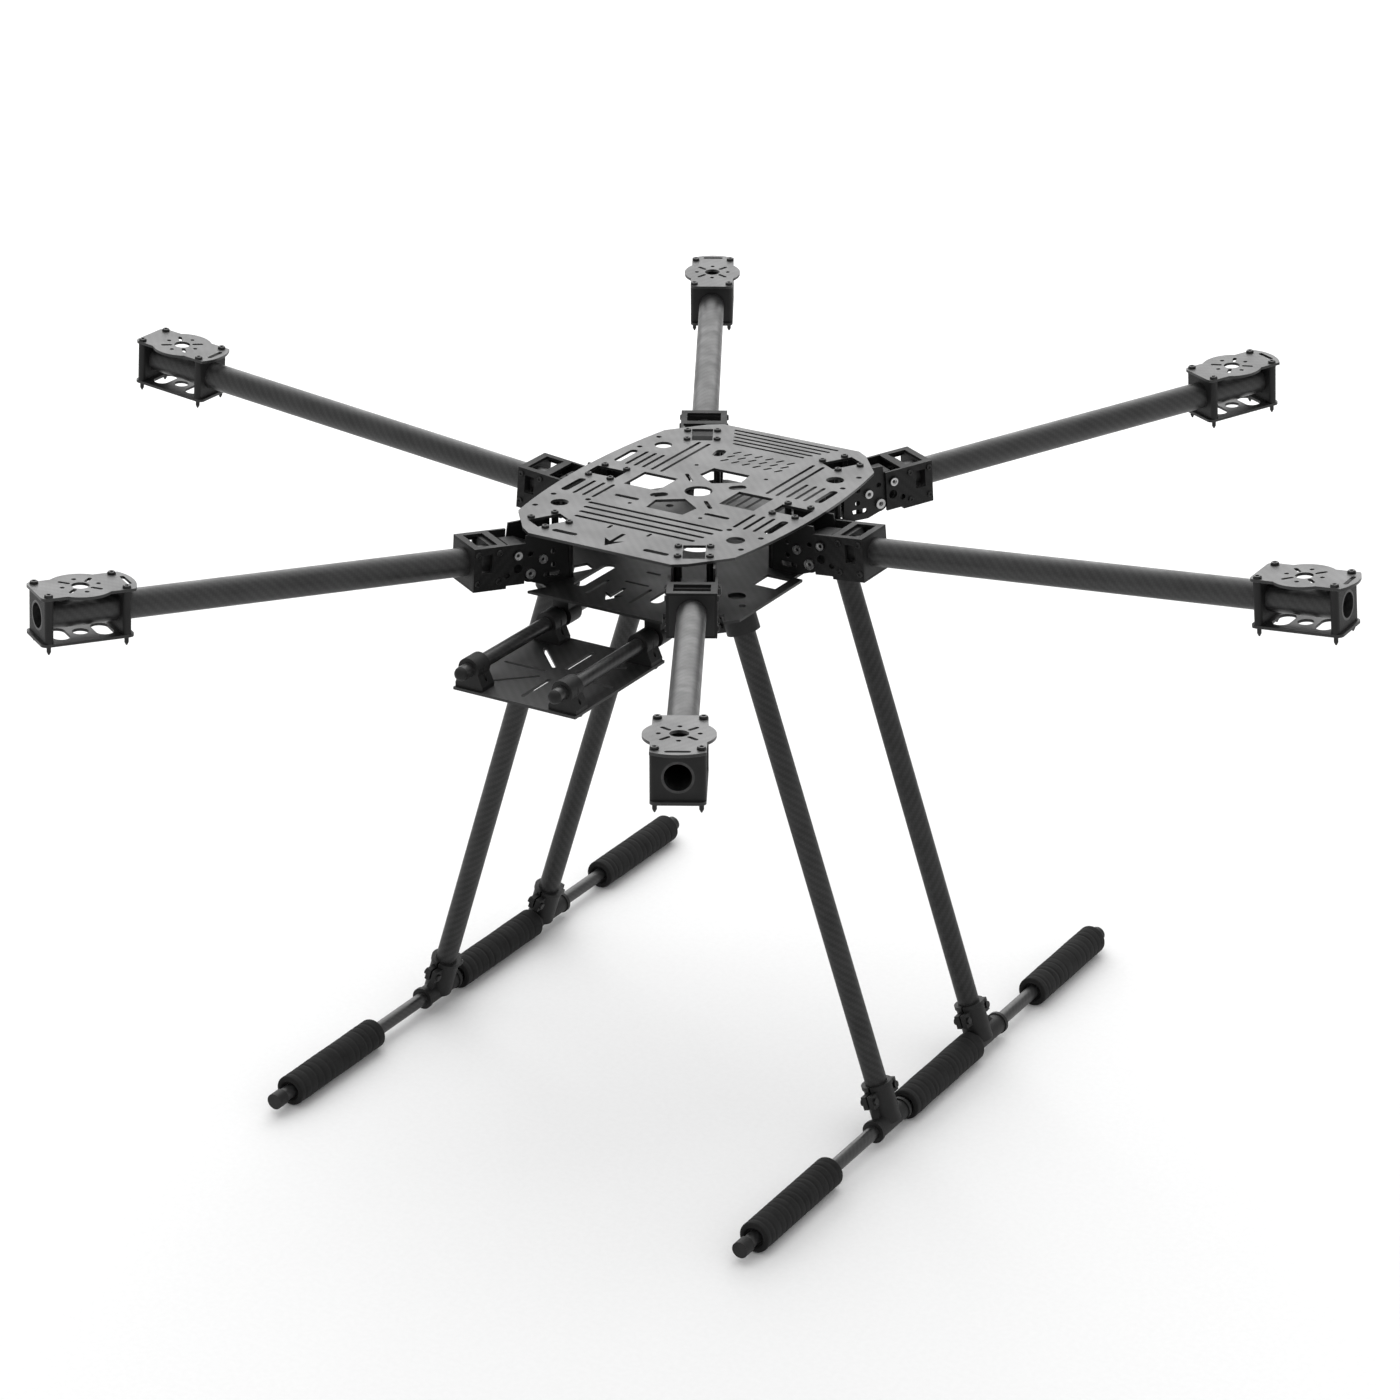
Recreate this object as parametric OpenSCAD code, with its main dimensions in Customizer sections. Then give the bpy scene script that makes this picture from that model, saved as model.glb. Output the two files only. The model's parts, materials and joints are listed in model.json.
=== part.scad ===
// Folding six-arm multirotor airframe. Two slotted deck plates carry six tube arms that fold down,
// four splayed legs on foam-sleeved skids, and a battery tray that slides on two rails.
// The origin is on the floor under the middle of the airframe, with the nose towards -Y.

/* [Airframe] */
// Distance between opposite motor centres
wheelbase = 920; // [900:5:960]
// Height of the underside of the lower deck above the floor
lower_deck_z = 390; // [385:1:410]
// Clear gap between the two deck plates
deck_gap = 38; // [38:1:42]
// Thickness of the deck plates
deck_t = 2; // [1.5:0.5:2.5]

/* [Deck plates] */
// Half width of the upper deck at its middle
deck_half_x = 97; // [96:1:100]
// Half length of the upper deck
deck_half_y = 130; // [130:1:134]
// Radius of the bowed sides of the upper deck
deck_side_r = 538; // [500:10:600]
// Half width of the lower deck
lower_half_x = 97.5; // [96.5:0.5:99]
// Distance from the middle to the front edge of the lower deck
lower_front = 137; // [136:1:140]
// Width of the narrow rows of slots
slot_w = 2.6; // [2:0.2:3.4]
// Diameter of the centre hole in the upper deck
centre_d = 20; // [12:1:24]
// Diameter of the four corner holes in the upper deck
corner_hole_d = 13; // [8:1:14]
// Spacing of the equipment mounting holes across the deck
equip_x = 58; // [56:1:62]
// Spacing of the equipment mounting holes along the deck
equip_y = 90; // [88:1:92]

/* [Arms] */
// Outside diameter of the arm tubes
arm_d = 20; // [18:1:20]
// Wall thickness of every tube
tube_wall = 1.5; // [1:0.25:2]
// Distance of the four corner arm hinges from the middle
corner_hinge_r = 141; // [141:1:144]
// Distance of the two side arm hinges from the middle
side_hinge_r = 100; // [100:1:103]
// Upward slope of the corner arms
corner_rise = 4; // [3:0.5:5]
// Upward slope of the side arms
side_rise = 5.5; // [4:0.5:6]
// Length of the box girder round each arm root
box_len = 44; // [44:1:47]

/* [Motor mounts] */
// Diameter of the circle of motor screws
motor_pcd = 25; // [25:0.5:26]
// Diameter of each motor screw hole
motor_hole_d = 3.2; // [2.8:0.2:3.4]
// Radius of the round bulge of the motor plate
motor_bulge_r = 22.5; // [21:0.5:24]

/* [Landing gear] */
// Outside diameter of the leg tubes
leg_d = 16; // [14:1:16]
// Outside diameter of the skid tubes
skid_d = 10; // [8:1:10]
// Outside diameter of the foam sleeves
foam_d = 23; // [22:1:26]
// Length of each foam sleeve
foam_len = 104; // [90:1:104]
// Distance of each skid from the middle
skid_x = 195.3; // [190:0.1:205]
// Distance of each leg top from the middle
leg_top_x = 74; // [72:1:76]

/* [Battery rack] */
// Outside diameter of the two rails
rail_d = 10; // [8:1:10]
// Distance of each rail from the middle
rail_x = 37.5; // [36:0.5:38]
// Drop from the lower deck to the rail centres
rail_drop = 17.6; // [17:0.2:19]
// Half width of the battery tray
tray_half_x = 49; // [48:0.5:49]

/* [Hidden] */
$fn = 48;

// Arm order: left, rear left, rear right, right, front right, front left
ARMS = [0 : 5];
LEFT = 0;
REAR_LEFT = 1;
REAR_RIGHT = 2;
RIGHT = 3;
FRONT_RIGHT = 4;
FRONT_LEFT = 5;

// Deck heights
lower_top_z = lower_deck_z + deck_t;
upper_z = lower_top_z + deck_gap;
upper_top_z = upper_z + deck_t;
lower_rear = 123;

// Hinge, measured from the pivot of each arm: x outward, y across, z up
hinge_z = lower_top_z + 10;
pivot_r = 2.5;
pivot_gap = 0.05;
stop_x = -10;
stop_z = 9;
stop_r = 1.9;
stop_sleeve_r = 3.4;
cheek_in = 13.5;
cheek_t = 1.5;
cheek_out = cheek_in + cheek_t;
post_r = 2.5;
post_y = 11;
inner_post_x = -33;
outer_post_x = -14.6;
post_screw_r = 1.5;
notch_start = -9.5;
notch_half = 21;
root_window = [25, 15.5];
root_window_x = -23;

// Box girder of an arm, measured along and square to the tube
tube_w = 8.5;
box_floor = -6.5;
box_top = 23;
box_skin = 2;
box_start = 19;
box_in = cheek_out + 0.1;
box_out = box_in + box_skin;
lug_half = 8.2;
lug_block_u = 12.5;
lug_block_top = 9;
cross_bolt = [11, 15];
inner_clamp_u = 22;
clamp_len = 6;
side_screw_r = 1.25;
side_screw_w = [-2.5, 18.5];

// Motor mount
mount_top = 23.5;
mount_half_u = 32;
mount_half_v = 17;
mount_corner_r = 4;
mount_screw_u = 26.8;
mount_screw_v = 14;
mount_screw_r = 1.5;

// Landing gear
skid_z = foam_d / 2;
leg_ys = [-63.5, 77.5];
leg_shift = 7;
leg_top_z = lower_deck_z - 7;
leg_splay = atan((skid_x - leg_top_x) / (leg_top_z - skid_z));
leg_len = norm([skid_x - leg_top_x, leg_shift, leg_top_z - skid_z]);
leg_lean = asin(leg_shift / leg_len);
tee_half = 21;
tee_shifts = [0, 9.5];
skid_front = -266;
skid_rear = 274;
foam_centres = [-199, 13, 215];

// Battery rack
rail_z = lower_deck_z - rail_drop;
rail_front = -243;
rail_rear = 108;
hanger_ys = [-115, 60];
collar_ys = [-228, -134];
collar_len = 14;
tray_t = 2;
tray_z = rail_z - 14.1;
tray_y = [-237, -125];

function is_side(i) = i == LEFT || i == RIGHT;
function hinge_r(i) = is_side(i) ? side_hinge_r : corner_hinge_r;
function rise(i) = is_side(i) ? side_rise : corner_rise;
// Distance from the pivot to the motor centre along the tube
function motor_u(i) =
  (wheelbase / 2 - hinge_r(i) + (mount_top + box_skin) * sin(rise(i))) / cos(rise(i));
// The noses of two motor plates point inward
function nose_side(i) = i == RIGHT || i == FRONT_RIGHT ? -1 : 1;

// ---------------------------------------------------------------- placing

module at_root(i)
  rotate([0, 0, 60 * i]) translate([hinge_r(i), 0, hinge_z]) children();

module at_arm(i)
  at_root(i) rotate([0, -rise(i), 0]) children();

module at_motor(i)
  at_arm(i) translate([motor_u(i), 0, 0]) children();

// Foot of a leg on its skid, with Z running up the leg; the top is a little ahead of the foot
module at_leg(side, y)
  translate([side * skid_x, y, skid_z]) rotate([leg_lean, -side * leg_splay, 0]) children();

module each_leg()
  for (side = [-1, 1])
    for (y = leg_ys)
      at_leg(side, y) children();

module both_sides()
  for (side = [-1, 1]) scale([1, side, 1]) children();

// ---------------------------------------------------------------- shapes

// Bar across the arm, centred
module cross_pin(x, z, r, half)
  translate([x, 0, z]) rotate([90, 0, 0]) cylinder(r = r, h = 2 * half, center = true);

// Flat shape drawn in the XZ plane and thickened across, centred
module upright(t)
  rotate([90, 0, 0]) linear_extrude(t, center = true) children();

module tube(d, len)
  difference() {
    cylinder(d = d, h = len);
    translate([0, 0, -1]) cylinder(d = d - 2 * tube_wall, h = len + 2);
  }

// Flat slot with round ends, centred
module slot(len, w, angle = 0)
  rotate(angle) {
    square([len - w, w], center = true);
    for (end = [-1, 1]) translate([end * (len - w) / 2, 0]) circle(d = w, $fn = 24);
  }

// Button head screw along Z with its head on the plane z = 0
module screw(shank_r, head_r, head_h, len) {
  translate([0, 0, -len]) cylinder(r = shank_r, h = len, $fn = 24);
  difference() {
    union() {
      cylinder(r = head_r, h = head_h * 0.5);
      translate([0, 0, head_h * 0.5]) cylinder(r1 = head_r, r2 = head_r * 0.8, h = head_h * 0.5);
    }
    translate([0, 0, head_h * 0.4]) cylinder(r = head_r * 0.45, h = head_h);
  }
}

module deck_outline(half_x, half_y)
  intersection() {
    square([2 * half_x, 2 * half_y], center = true);
    translate([half_x - deck_side_r, 0]) circle(deck_side_r, $fn = 360);
    translate([deck_side_r - half_x, 0]) circle(deck_side_r, $fn = 360);
  }

// Two opposite corners of a deck, cut off square to the given direction
module corner_cuts(angle, r)
  for (a = [angle, 180 - angle])
    rotate(a) translate([r, -100]) square([100, 200]);

module post_spots(x)
  for (i = ARMS)
    at_root(i)
      for (side = [-1, 1])
        translate([x, side * post_y, -hinge_z]) children();

module deck_screw_holes(x)
  for (i = ARMS)
    rotate(60 * i)
      for (side = [-1, 1])
        translate([hinge_r(i) + x, side * post_y]) circle(post_screw_r, $fn = 24);

// ---------------------------------------------------------------- deck plates

module root_windows()
  for (i = ARMS)
    rotate(60 * i)
      translate([hinge_r(i) + root_window_x, 0]) square(root_window, center = true);

module cross_rows() {
  for (k = [0 : 3]) translate([0, -58 - 9 * k]) slot(110 - 4 * k, 3.2);
  for (k = [0 : 4]) translate([0, 97.5 + 6.4 * k]) slot(60 + 7 * k, slot_w);
  for (side = [-1, 1]) translate([side * 16, -91]) slot(6, 2.2, 90);
}

module side_rows()
  for (side = [-1, 1]) {
    for (x = [44, 52]) translate([side * x, 54]) slot(68, slot_w, 90);
    for (x = [60, 67, 74]) translate([side * x, 36]) slot(30, slot_w, 90);
    translate([side * 83.5, 36]) slot(27, 6, 90);
    for (x = [58, 66, 74]) translate([side * x, -34]) slot(29, slot_w, 90);
    translate([side * 83.5, -33.5]) slot(27, 6, 90);
  }

module centre_cut() {
  circle(d = centre_d);
  for (side = [-1, 1]) {
    translate([side * 39.5, 0]) square([28, 28], center = true);
    scale([1, side]) polygon([[0, 18], [17, 30], [15, 46], [-15, 46], [-17, 30]]);
    rotate(45) translate([side * 28.5, 0]) slot(13, 8);
    rotate(-45) translate([side * 28.5, 0]) slot(16, 3);
    translate([side * 37, -36]) slot(20, 4);
    translate([side * 37, -116]) slot(20, 4.6);
  }
}

small_hole_d = 4.2;

module small_holes() {
  for (x = [-1, 1])
    for (y = [-1, 1]) {
      translate([x * equip_x / 2, y * equip_y / 2]) circle(d = motor_hole_d, $fn = 24);
      translate([x * 72, y * 69]) circle(d = corner_hole_d);
      translate([x * 85, y * 57]) circle(d = small_hole_d, $fn = 24);
      translate([x * 84, y * 82]) circle(d = small_hole_d, $fn = 24);
      translate([x * 58, -54]) circle(d = small_hole_d, $fn = 24);
    }
  translate([-28, 75]) slot(14, 8, 100);
}

// Front arrow
module arrow_cut()
  translate([0, -109]) {
    square([3, 22], center = true);
    polygon([[-8, -1], [-1.5, -5], [1.5, -5], [8, -1], [0, -14]]);
  }

// Rows of short slots in place of the lettering
module short_rows()
  for (row = [0 : 2])
    for (k = [0 : 5])
      translate([-17 + 9 * k, 64 + 9 * row]) slot(7, 2.2, 60);

module top_plate()
  color([0.60, 0.60, 0.60])
    translate([0, 0, upper_z])
      linear_extrude(deck_t)
        difference() {
          deck_outline(deck_half_x, deck_half_y);
          for (end = [-1, 1]) {
            corner_cuts(end * 54.5, 139.2);
            corner_cuts(end * 38.9, 129.5);
          }
          root_windows();
          deck_screw_holes(inner_post_x);
          deck_screw_holes(outer_post_x);
          cross_rows();
          side_rows();
          centre_cut();
          small_holes();
          arrow_cut();
          short_rows();
        }

// Long opening in the lower deck under each corner arm root
module root_openings()
  for (i = [REAR_LEFT, REAR_RIGHT, FRONT_RIGHT, FRONT_LEFT])
    rotate(60 * i) translate([102, 0]) square([32, 12], center = true);

module arm_notches()
  for (i = ARMS)
    rotate(60 * i)
      translate([hinge_r(i) + notch_start, -notch_half]) square([60, 2 * notch_half]);

module lower_rows() {
  translate([3, -65]) slot(12, 3);
  translate([3, -87]) slot(20, slot_w);
  for (side = [-1, 1]) {
    translate([side * 17.5, -105.5]) slot(29, slot_w, 90);
    for (x = [7.5, 15.5, 23.5]) translate([side * x, 93]) slot(30, slot_w, 90);
  }
}

module lower_windows()
  for (side = [-1, 1]) {
    translate([side * 31, -88]) slot(46, 9.3, 90);
    translate([side * 81, -35.7]) square([18.5, 21], center = true);
    translate([side * 24.5, 46]) square([23, 44], center = true);
    translate([side * 86.5, -84.3]) circle(d = 5.2, $fn = 24);
    translate([side * 58, 54.5]) circle(d = 6, $fn = 24);
    for (y = [-70.5, 70.5]) translate([side * leg_top_x, y]) circle(d = 12.6);
  }

module bottom_plate()
  color([0.24, 0.24, 0.24])
    translate([0, 0, lower_deck_z])
      linear_extrude(deck_t)
        difference() {
          translate([-lower_half_x, -lower_front]) square([2 * lower_half_x, lower_front + lower_rear]);
          corner_cuts(-35.5, 141);
          corner_cuts(35.5, 116);
          arm_notches();
          deck_screw_holes(inner_post_x);
          circle(d = 32);
          root_openings();
          lower_rows();
          lower_windows();
          arrow_cut();
        }

module plate_posts()
  color([0.12, 0.12, 0.12]) {
    post_spots(inner_post_x)
      translate([0, 0, lower_top_z]) post(deck_gap);
    post_spots(outer_post_x)
      translate([0, 0, lower_top_z + 2]) post(deck_gap - 2);
  }

module post(h)
  difference() {
    cylinder(r = post_r, h = h);
    translate([0, 0, -1]) cylinder(r = post_screw_r, h = h + 2, $fn = 24);
  }

module frame_screws()
  color([0.72, 0.72, 0.72]) {
    for (x = [inner_post_x, outer_post_x])
      post_spots(x) translate([0, 0, upper_top_z]) screw(post_screw_r, 2.7, 1.6, 10);
    post_spots(inner_post_x)
      translate([0, 0, lower_deck_z]) scale([1, 1, -1]) screw(post_screw_r, 2.7, 1.6, 10);
    for (side = [-1, 1])
      for (y = leg_ys)
        at_leg(side, y) translate([-side * socket_ear_x, 0, leg_len - socket_clamp_drop]) socket_bolt();
    each_leg() translate([0, 0, tee_clamp_z]) tee_bolts();
  }

// ---------------------------------------------------------------- hinge roots

module cheek_outline() {
  top = deck_gap - 10;
  difference() {
    union() {
      polygon([[-30, -10], [notch_start, -10], [0, -6.5], [6.5, 0], [2, top], [-30, top]]);
      circle(6.5);
    }
    circle(pivot_r);
    translate([stop_x, stop_z]) circle(stop_r, $fn = 24);
    for (z = [3, 13]) translate([-18.5, z]) circle(2, $fn = 24);
    translate([-1, 14]) circle(2, $fn = 24);
    translate([-17, -3.5]) slot(13, 3.5);
  }
}

module hinge_cheeks()
  color([0.13, 0.13, 0.13])
    for (i = ARMS)
      at_root(i)
        for (side = [-1, 1])
          translate([0, side * (cheek_in + cheek_t / 2), 0]) upright(cheek_t) cheek_outline();

module hinge_bolts()
  color([0.75, 0.75, 0.75])
    for (i = ARMS)
      at_root(i) {
        cross_pin(0, 0, pivot_r, cheek_out);
        cross_pin(stop_x, stop_z, stop_r, cheek_out);
        cross_pin(stop_x, stop_z, stop_sleeve_r, lug_half - 0.2);
        both_sides() {
          bolt_head(0, 0, 3.7);
          bolt_head(stop_x, stop_z, 3.2);
        }
      }

// Socket head standing on the outer face of a cheek
module bolt_head(x, z, r)
  translate([x, cheek_out, z])
    rotate([-90, 0, 0])
      difference() {
        cylinder(r = r, h = 2);
        translate([0, 0, 0.8]) cylinder(r = r * 0.5, h = 2, $fn = 24);
      }

// ---------------------------------------------------------------- landing gear

socket_r = 12;
socket_len = 17;
socket_clamp_drop = 10;
socket_ear_x = 14.5;
flange_t = 3;
tee_r = 10.5;
tee_len = 30;
tee_clamp_z = 21;
tee_skid_r = 7.6;

// Split sockets whose clamp ears face the middle
module leg_sockets()
  color([0.11, 0.11, 0.11])
    for (side = [-1, 1])
      for (y = leg_ys)
        difference() {
          union() {
            translate([side * leg_top_x, y - leg_shift, lower_deck_z - flange_t / 2])
              cube([26, 23, flange_t], center = true);
            intersection() {
              at_leg(side, y) {
                translate([0, 0, leg_len - socket_len]) cylinder(r = socket_r, h = socket_len + 20);
                translate([-side * 13, 0, leg_len - socket_clamp_drop]) cube([10, 11, 10], center = true);
              }
              translate([side * leg_top_x, y, lower_deck_z - 30]) cube([80, 60, 60], center = true);
            }
          }
          at_leg(side, y) {
            translate([0, 0, leg_len - socket_len - 1]) cylinder(d = leg_d, h = socket_len + 1);
            translate([-side * 14.5, 0, leg_len - socket_clamp_drop - 1]) cube([15, 1.4, 14], center = true);
            translate([-side * socket_ear_x, 0, leg_len - socket_clamp_drop]) rotate([90, 0, 0])
              cylinder(r = 1.25, h = 12, center = true, $fn = 24);
          }
        }

// Bolt across the clamp ears of a socket
module socket_bolt()
  rotate([90, 0, 0]) {
    cylinder(r = 1.25, h = 11, center = true, $fn = 24);
    for (end = [0, 180]) rotate([end, 0, 0]) translate([0, 0, 5.5]) cylinder(r = 2.4, h = 1.6);
  }

module leg_tubes()
  color([0.34, 0.34, 0.34])
    each_leg()
      translate([0, 0, 12]) tube(leg_d, leg_len - 12);

module leg_tees()
  color([0.12, 0.12, 0.12])
    for (side = [-1, 1])
      for (k = [0, 1])
        at_leg(side, leg_ys[k]) leg_tee(tee_shifts[k]);

// Tee joint of a leg; its foot sleeve sits the given distance behind the leg
module leg_tee(shift)
  difference() {
    union() {
      cylinder(r = tee_r, h = tee_len);
      translate([0, 0, tee_len - 3]) cylinder(r = tee_r + 0.8, h = 3);
      rotate([-leg_lean, 0, 0]) tee_foot(shift);
      for (end = [-1, 1])
        translate([0, end * 13.5, tee_clamp_z]) cube([9, 8, 10], center = true);
    }
    translate([0, 0, 12]) cylinder(d = leg_d, h = tee_len);
    rotate([90 - leg_lean, 0, 0]) cylinder(d = skid_d, h = 100, center = true);
    for (end = [-1, 1])
      translate([0, end * 14, tee_clamp_z + 2]) cube([1.4, 14, 18], center = true);
    for (end = [-1, 1])
      translate([0, end * 14.5, tee_clamp_z]) rotate([0, 90, 0])
        cylinder(r = 1.25, h = 12, center = true, $fn = 24);
  }

// Sleeve of a tee round the skid, with end rings and the two gussets
module tee_foot(shift) {
  translate([0, shift, 0]) rotate([90, 0, 0]) cylinder(r = tee_skid_r, h = 2 * tee_half, center = true);
  for (end = [-1, 1])
    translate([0, shift + end * (tee_half - 1.5), 0]) rotate([90, 0, 0])
      cylinder(r = tee_skid_r + 0.9, h = 3, center = true);
  rotate([90, 0, 90]) linear_extrude(5, center = true)
    polygon([[shift - tee_half + 3, 0], [shift + tee_half - 3, 0], [9, 19], [-9, 19]]);
}

// The two bolts of a tee's split collar
module tee_bolts()
  for (end = [-1, 1])
    translate([0, end * 14.5, 0]) rotate([0, 90, 0]) {
      cylinder(r = 1.25, h = 9, center = true, $fn = 24);
      for (a = [0, 180]) rotate([0, a, 0]) translate([0, 0, 4.5]) cylinder(r = 2.6, h = 1.8);
    }

module skid_tubes()
  color([0.36, 0.36, 0.36])
    for (side = [-1, 1])
      translate([side * skid_x, skid_front, skid_z]) rotate([-90, 0, 0])
        tube(skid_d, skid_rear - skid_front);

module skid_cap()
  difference() {
    translate([0, 0, -3]) cylinder(d = skid_d + 2, h = 9.5);
    cylinder(d = skid_d, h = 10);
  }

module skid_caps()
  color([0.10, 0.10, 0.10])
    for (side = [-1, 1]) {
      translate([side * skid_x, skid_front, skid_z]) rotate([-90, 0, 0]) skid_cap();
      translate([side * skid_x, skid_rear, skid_z]) rotate([90, 0, 0]) skid_cap();
    }

module foam_sleeves()
  color([0.16, 0.16, 0.16])
    for (side = [-1, 1])
      for (y = foam_centres)
        translate([side * skid_x, y, skid_z]) rotate([90, 0, 0])
          difference() {
            cylinder(d = foam_d, h = foam_len, center = true);
            cylinder(d = skid_d, h = foam_len + 2, center = true);
          }

// ---------------------------------------------------------------- battery rack

module each_rail()
  for (side = [-1, 1]) translate([side * rail_x, 0, rail_z]) children();

module rail_hangers()
  color([0.10, 0.10, 0.10])
    each_rail()
      for (y = hanger_ys)
        translate([0, y, 0])
          difference() {
            union() {
              rotate([90, 0, 0]) cylinder(r = 8.5, h = 14, center = true);
              translate([0, 0, rail_drop / 2]) cube([13, 14, rail_drop], center = true);
              translate([0, 0, rail_drop - 1.5]) cube([24, 14, 3], center = true);
            }
            rotate([90, 0, 0]) cylinder(r = rail_d / 2 + pivot_gap, h = 20, center = true);
          }

module rail_tubes()
  color([0.30, 0.30, 0.30])
    each_rail()
      translate([0, rail_front, 0]) rotate([-90, 0, 0]) tube(rail_d, rail_rear - rail_front);

module rail_plugs()
  color([0.14, 0.14, 0.14])
    each_rail() {
      translate([0, rail_front, 0]) rotate([90, 0, 0]) rail_plug();
      translate([0, rail_rear, 0]) rotate([-90, 0, 0]) rail_plug();
    }

// Domed plug with a stem inside the tube
module rail_plug() {
  translate([0, 0, -8]) cylinder(d = rail_d - 2 * tube_wall, h = 8);
  rotate_extrude()
    intersection() {
      circle(d = rail_d);
      square([rail_d, rail_d]);
    }
}

module rail_collars()
  color([0.12, 0.12, 0.12])
    each_rail()
      for (y = collar_ys)
        translate([0, y, 0])
          difference() {
            union() {
              rotate([90, 0, 0]) cylinder(r = 8.2, h = collar_len, center = true);
              rotate([90, 0, 0]) linear_extrude(collar_len, center = true)
                polygon([[-6, 0], [6, 0], [11, -14.1 + 3], [11, -14.1], [-11, -14.1], [-11, -14.1 + 3]]);
            }
            rotate([90, 0, 0]) cylinder(d = rail_d, h = 20, center = true);
            for (side = [-1, 1])
              translate([side * 8.8, 0, -16]) cylinder(r = 1.25, h = 20, $fn = 24);
          }

module battery_tray()
  color([0.28, 0.28, 0.28])
    translate([0, 0, tray_z - tray_t])
      linear_extrude(tray_t)
        difference() {
          translate([0, (tray_y[0] + tray_y[1]) / 2])
            square([2 * tray_half_x, tray_y[1] - tray_y[0]], center = true);
          for (x = [-1, 1])
            for (y = collar_ys)
              for (side = [-1, 1])
                translate([x * rail_x + side * 8.8, y]) circle(1.25, $fn = 24);
          translate([0, -183]) tray_star();
        }

// Star of cooling and strap slots round the middle of the tray
module tray_star()
  for (a = [0 : 45 : 315])
    rotate(a) translate([0, a % 90 == 0 ? 27 : 30]) slot(a % 90 == 0 ? 34 : 36, 3, 90);

module tray_screws()
  color([0.70, 0.70, 0.70])
    each_rail()
      for (y = collar_ys)
        for (side = [-1, 1])
          translate([side * 8.8, y, tray_z - tray_t - rail_z]) scale([1, 1, -1])
            screw(1.25, 2.3, 1.4, 4.5);

// ---------------------------------------------------------------- arms

module arm_tube(i)
  color([0.38, 0.38, 0.38])
    at_arm(i)
      translate([20, 0, tube_w]) rotate([0, 90, 0])
        tube(arm_d, motor_u(i) + mount_screw_u + clamp_len / 2 - 20);

// The ear of the knuckle rests against the stop bolt when the arm is out
module arm_hinge_lug(i) {
  reach = norm([stop_x, stop_z]);
  ear = atan2(stop_z, stop_x) - asin(stop_sleeve_r / reach) - 0.2 - rise(i);
  color([0.10, 0.10, 0.10])
    at_arm(i)
      difference() {
        union() {
          upright(2 * lug_half) {
            circle(7);
            polygon([
              [0, 0], [18 * cos(ear), 18 * sin(ear)], [3, 20], [14, 20], [14, box_floor + 1], [6, -3]
            ]);
          }
          translate([lug_block_u, -box_in, box_floor])
            cube([box_start - lug_block_u, 2 * box_in, lug_block_top - box_floor]);
        }
        cross_pin(0, 0, pivot_r + pivot_gap, lug_half + 1);
        cross_pin(cross_bolt[0], cross_bolt[1], stop_r, box_in + 1);
      }
}

module box_screw_spots(i)
  both_sides()
    for (u = [inner_clamp_u + clamp_len / 2, box_len - clamp_len / 2])
      for (w = side_screw_w)
        translate([u, box_out, w]) rotate([-90, 0, 0]) children();

module box_side_outline()
  difference() {
    translate([5, box_floor]) square([box_len - 5, box_top - box_floor]);
    translate(cross_bolt) circle(stop_r, $fn = 24);
    translate([10.4, 5]) circle(3.4);
    translate([30, 4.5]) square([8, 13.5]);
    translate([18.5, 1]) circle(2.2, $fn = 24);
    for (u = [inner_clamp_u + clamp_len / 2, box_len - clamp_len / 2])
      for (w = side_screw_w)
        translate([u, w]) circle(side_screw_r, $fn = 24);
  }

// Roof between the side plates, open over the middle of the box
module box_roof()
  linear_extrude(box_skin)
    difference() {
      translate([box_start, -box_in]) square([box_len - box_start, 2 * box_in]);
      translate([24.5, -12.6]) square([14.5, 25.2]);
    }

module box_base()
  linear_extrude(box_skin)
    difference() {
      translate([box_start, -box_out]) square([box_len - box_start, 2 * box_out]);
      for (u = [25.5, 35]) translate([u, 0]) square([7.5, 23], center = true);
    }

module arm_box_plates(i)
  color([0.10, 0.10, 0.10])
    at_arm(i) {
      for (side = [-1, 1])
        translate([0, side * (box_in + box_skin / 2), 0]) upright(box_skin) box_side_outline();
      translate([0, 0, box_top - box_skin]) box_roof();
      translate([0, 0, box_floor - box_skin]) box_base();
    }

module clamp_bore()
  translate([0, 0, tube_w]) rotate([0, 90, 0]) cylinder(d = arm_d, h = 60, center = true);

module arm_tube_clamps(i)
  color([0.14, 0.14, 0.14]) {
    at_arm(i)
      difference() {
        for (u = [inner_clamp_u, box_len - clamp_len])
          translate([u, -box_in, box_floor])
            cube([clamp_len, 2 * box_in, box_top - box_skin - box_floor]);
        translate([box_len / 2, 0, 0]) clamp_bore();
        box_screw_spots(i) cylinder(r = side_screw_r, h = 12, center = true, $fn = 24);
      }
    at_motor(i)
      for (end = [-1, 1])
        translate([end * mount_screw_u, 0, 0])
          difference() {
            mount_clamp();
            clamp_bore();
            for (side = [-1, 1])
              translate([0, side * mount_screw_v, -10]) cylinder(r = mount_screw_r, h = 50, $fn = 24);
          }
  }

// Clamp block of the motor mount with rounded upright edges and a raised ring round the bore
module mount_clamp() {
  h = mount_top - box_floor;
  translate([0, 0, box_floor]) {
    translate([-clamp_len / 2, -mount_half_v + 3, 0]) cube([clamp_len, 2 * mount_half_v - 6, h]);
    for (side = [-1, 1])
      translate([0, side * (mount_half_v - 3), 0]) cylinder(r = clamp_len / 2, h = h);
  }
}

// Plate of the motor mount with rounded corners
module mount_outline() {
  in_u = mount_half_u - mount_corner_r;
  in_v = mount_half_v - mount_corner_r;
  square([2 * mount_half_u, 2 * in_v], center = true);
  square([2 * in_u, 2 * mount_half_v], center = true);
  for (u = [-1, 1])
    for (v = [-1, 1])
      translate([u * in_u, v * in_v]) circle(mount_corner_r, $fn = 32);
}

module mount_screw_holes()
  for (u = [-1, 1])
    for (v = [-1, 1])
      translate([u * mount_screw_u, v * mount_screw_v]) circle(mount_screw_r, $fn = 24);

// The bowed nose end of the motor plate
nose_r = 31.4;
nose_tip = 37;

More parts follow.
